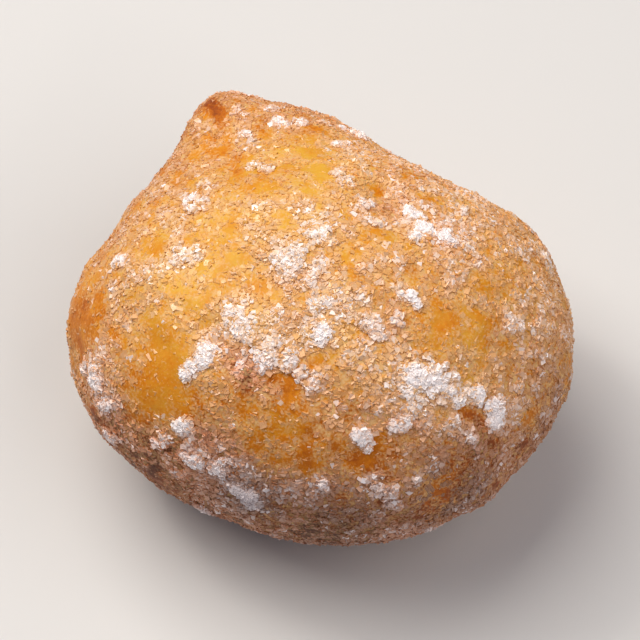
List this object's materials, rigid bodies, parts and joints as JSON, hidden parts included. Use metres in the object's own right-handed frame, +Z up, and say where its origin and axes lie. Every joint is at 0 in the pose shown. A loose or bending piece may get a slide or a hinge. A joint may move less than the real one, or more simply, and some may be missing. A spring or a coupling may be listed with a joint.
{
  "type": "sugar doughnut",
  "caption": "Ball-shaped fried doughnut with a pinched tip, coated in granulated sugar that clots into white patches, resting on a small flat spot.",
  "frame": {"origin": "on the table, under the middle of the doughnut's box", "axes": "+X along the longest way across, +Y towards the side where the pinched tip is, +Z up"},
  "size_m": [0.0609, 0.0559, 0.0415],
  "materials": {
    "fried_crust": "golden to orange-brown deep-fried crust, slightly oily and uneven, darker underneath",
    "sugar": "granulated sugar, white to peach, glittering where clotted"
  },
  "bodies": {
    "root": {"doughnut": "fried_crust"}
  },
  "joints": []
}
